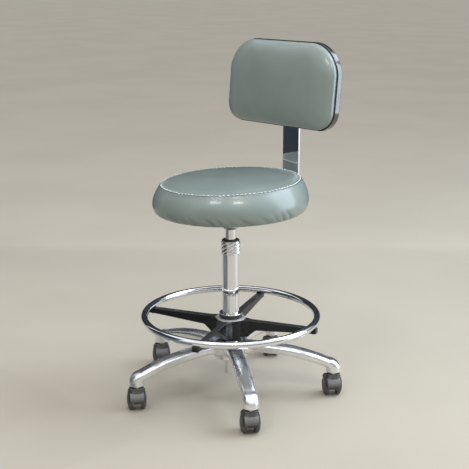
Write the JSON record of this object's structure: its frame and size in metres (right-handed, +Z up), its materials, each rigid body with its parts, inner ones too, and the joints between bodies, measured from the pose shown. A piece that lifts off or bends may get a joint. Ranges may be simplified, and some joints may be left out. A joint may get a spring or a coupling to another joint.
{
  "type": "medical rolling stool",
  "caption": "Rolling stool with a round padded seat on a gas lift, a padded backrest on a bent flat bar, a foot ring on the column and a polished star base on twin-wheel casters.",
  "frame": {"origin": "floor level, at the middle of the bounding box in plan; the column's axis stands 32.1 mm to +X and 3.8 mm to -Y of it", "axes": "+Z up along the column, +Y towards the backrest, so that the sitter faces -Y; +X to the sitter's left"},
  "size_m": [0.5676, 0.5856, 0.9251],
  "materials": {
    "polished_aluminium": "polished casting",
    "chrome": "mirror chrome plate",
    "zinc_steel": "zinc plated",
    "black_moulding": "semi-gloss black",
    "gloss_black_shell": "gloss black",
    "black_nylon": "fine grained",
    "wheel_nylon": "moulded, slightly worn",
    "plywood": "raw plywood",
    "grey_green_vinyl": "coated upholstery vinyl, soft sheen"
  },
  "bodies": {
    "base": {"base_star": "polished_aluminium", "column_tube": "chrome", "column_collar": "chrome", "guide_bush": "black_nylon", "thrust_bearing": "zinc_steel"},
    "spindle": {"piston_rod": "zinc_steel", "rod_clip": "zinc_steel"},
    "seat": {"gas_cylinder": "chrome", "seat_plate": "zinc_steel", "bar_guide": "zinc_steel", "seat_board": "plywood", "seat_cushion": "grey_green_vinyl", "seat_bolt_1": "zinc_steel", "seat_bolt_2": "zinc_steel", "seat_bolt_3": "zinc_steel", "seat_bolt_4": "zinc_steel"},
    "valve": {"valve_pin": "zinc_steel"},
    "lever": {"release_lever": "zinc_steel", "lever_grip": "black_nylon"},
    "depth_knob": {"depth_knob": "black_nylon"},
    "bar": {"back_bar": "chrome"},
    "backrest": {"back_shell": "gloss_black_shell", "back_board": "plywood", "back_cushion": "grey_green_vinyl", "bar_sleeve": "black_moulding", "sleeve_screw_1": "zinc_steel", "sleeve_screw_2": "zinc_steel"},
    "height_knob": {"height_knob": "black_moulding"},
    "ring": {"ring_spider": "black_moulding", "ring_collet": "black_moulding", "foot_ring": "chrome", "ring_screw_1": "zinc_steel", "ring_screw_2": "zinc_steel", "ring_screw_3": "zinc_steel", "ring_screw_4": "zinc_steel"},
    "caster_1": {"caster_1_hood": "black_nylon", "caster_1_stem": "zinc_steel", "caster_1_axle": "zinc_steel"},
    "caster_1_left": {"caster_1_wheel_left": "wheel_nylon"},
    "caster_1_right": {"caster_1_wheel_right": "wheel_nylon"},
    "caster_2": {"caster_2_hood": "black_nylon", "caster_2_stem": "zinc_steel", "caster_2_axle": "zinc_steel"},
    "caster_2_left": {"caster_2_wheel_left": "wheel_nylon"},
    "caster_2_right": {"caster_2_wheel_right": "wheel_nylon"},
    "caster_3": {"caster_3_hood": "black_nylon", "caster_3_stem": "zinc_steel", "caster_3_axle": "zinc_steel"},
    "caster_3_left": {"caster_3_wheel_left": "wheel_nylon"},
    "caster_3_right": {"caster_3_wheel_right": "wheel_nylon"},
    "caster_4": {"caster_4_hood": "black_nylon", "caster_4_stem": "zinc_steel", "caster_4_axle": "zinc_steel"},
    "caster_4_left": {"caster_4_wheel_left": "wheel_nylon"},
    "caster_4_right": {"caster_4_wheel_right": "wheel_nylon"},
    "caster_5": {"caster_5_hood": "black_nylon", "caster_5_stem": "zinc_steel", "caster_5_axle": "zinc_steel"},
    "caster_5_left": {"caster_5_wheel_left": "wheel_nylon"},
    "caster_5_right": {"caster_5_wheel_right": "wheel_nylon"}
  },
  "joints": [
    {"name": "seat_swivel", "type": "hinge", "parent": "base", "child": "spindle", "pos_m": [0.03208, -0.00384, 0.0572], "axis": [0, 0, 1], "continuous": true},
    {"name": "seat_lift", "type": "slide", "parent": "spindle", "child": "seat", "axis": [0, 0, 1], "range_m": [-0.025, 0.105]},
    {"name": "lever_lift", "type": "hinge", "parent": "seat", "child": "lever", "pos_m": [0.00008, -0.00384, 0.4963], "axis": [0, 1, 0], "range_deg": [0, 6], "stiffness_Nm_per_rad": 0.6, "springref_deg": -5.73},
    {"name": "valve_press", "type": "slide", "parent": "seat", "child": "valve", "axis": [0, 0, -1], "range_m": [0, 0.0036]},
    {"name": "depth_knob_turn", "type": "hinge", "parent": "seat", "child": "depth_knob", "pos_m": [0.03208, 0.09016, 0.4809], "axis": [0, 0, 1], "range_deg": [0, 270]},
    {"name": "backrest_depth", "type": "slide", "parent": "seat", "child": "bar", "axis": [0, 1, 0], "range_m": [-0.02, 0.03]},
    {"name": "backrest_height", "type": "slide", "parent": "bar", "child": "backrest", "axis": [0, 0, 1], "range_m": [-0.04, 0.05]},
    {"name": "height_knob_turn", "type": "hinge", "parent": "backrest", "child": "height_knob", "pos_m": [0.03208, 0.24166, 0.7704], "axis": [0, 1, 0], "range_deg": [0, 270]},
    {"name": "ring_height", "type": "slide", "parent": "base", "child": "ring", "axis": [0, 0, 1], "range_m": [0, 0.12]},
    {"name": "caster_1_swivel", "type": "hinge", "parent": "base", "child": "caster_1", "pos_m": [0.25025, 0.16357, 0.0653], "axis": [0, 0, 1], "continuous": true},
    {"name": "caster_1_left_spin", "type": "hinge", "parent": "caster_1", "child": "caster_1_left", "pos_m": [0.24066, 0.17079, 0.025], "axis": [-0.6018, -0.7986, 0], "continuous": true},
    {"name": "caster_1_right_spin", "type": "hinge", "parent": "caster_1", "child": "caster_1_right", "pos_m": [0.24066, 0.17079, 0.025], "axis": [-0.6018, -0.7986, 0], "continuous": true},
    {"name": "caster_2_swivel", "type": "hinge", "parent": "base", "child": "caster_2", "pos_m": [-0.05972, 0.25539, 0.0653], "axis": [0, 0, 1], "continuous": true},
    {"name": "caster_2_left_spin", "type": "hinge", "parent": "caster_2", "child": "caster_2_left", "pos_m": [-0.0693, 0.26261, 0.025], "axis": [-0.6018, -0.7986, 0], "continuous": true},
    {"name": "caster_2_right_spin", "type": "hinge", "parent": "caster_2", "child": "caster_2_right", "pos_m": [-0.0693, 0.26261, 0.025], "axis": [-0.6018, -0.7986, 0], "continuous": true},
    {"name": "caster_3_swivel", "type": "hinge", "parent": "base", "child": "caster_3", "pos_m": [-0.24283, -0.01104, 0.0653], "axis": [0, 0, 1], "continuous": true},
    {"name": "caster_3_left_spin", "type": "hinge", "parent": "caster_3", "child": "caster_3_left", "pos_m": [-0.25241, -0.00381, 0.025], "axis": [-0.6018, -0.7986, 0], "continuous": true},
    {"name": "caster_3_right_spin", "type": "hinge", "parent": "caster_3", "child": "caster_3_right", "pos_m": [-0.25241, -0.00381, 0.025], "axis": [-0.6018, -0.7986, 0], "continuous": true},
    {"name": "caster_4_swivel", "type": "hinge", "parent": "base", "child": "caster_4", "pos_m": [-0.04603, -0.26751, 0.0653], "axis": [0, 0, 1], "continuous": true},
    {"name": "caster_4_left_spin", "type": "hinge", "parent": "caster_4", "child": "caster_4_left", "pos_m": [-0.05561, -0.26029, 0.025], "axis": [-0.6018, -0.7986, 0], "continuous": true},
    {"name": "caster_4_right_spin", "type": "hinge", "parent": "caster_4", "child": "caster_4_right", "pos_m": [-0.05561, -0.26029, 0.025], "axis": [-0.6018, -0.7986, 0], "continuous": true},
    {"name": "caster_5_swivel", "type": "hinge", "parent": "base", "child": "caster_5", "pos_m": [0.25871, -0.1596, 0.0653], "axis": [0, 0, 1], "continuous": true},
    {"name": "caster_5_left_spin", "type": "hinge", "parent": "caster_5", "child": "caster_5_left", "pos_m": [0.24913, -0.15238, 0.025], "axis": [-0.6018, -0.7986, 0], "continuous": true},
    {"name": "caster_5_right_spin", "type": "hinge", "parent": "caster_5", "child": "caster_5_right", "pos_m": [0.24913, -0.15238, 0.025], "axis": [-0.6018, -0.7986, 0], "continuous": true}
  ],
  "couplings": [
    {"joint": "valve_press", "follows": "lever_lift", "m_per_rad": 0.032}
  ]
}
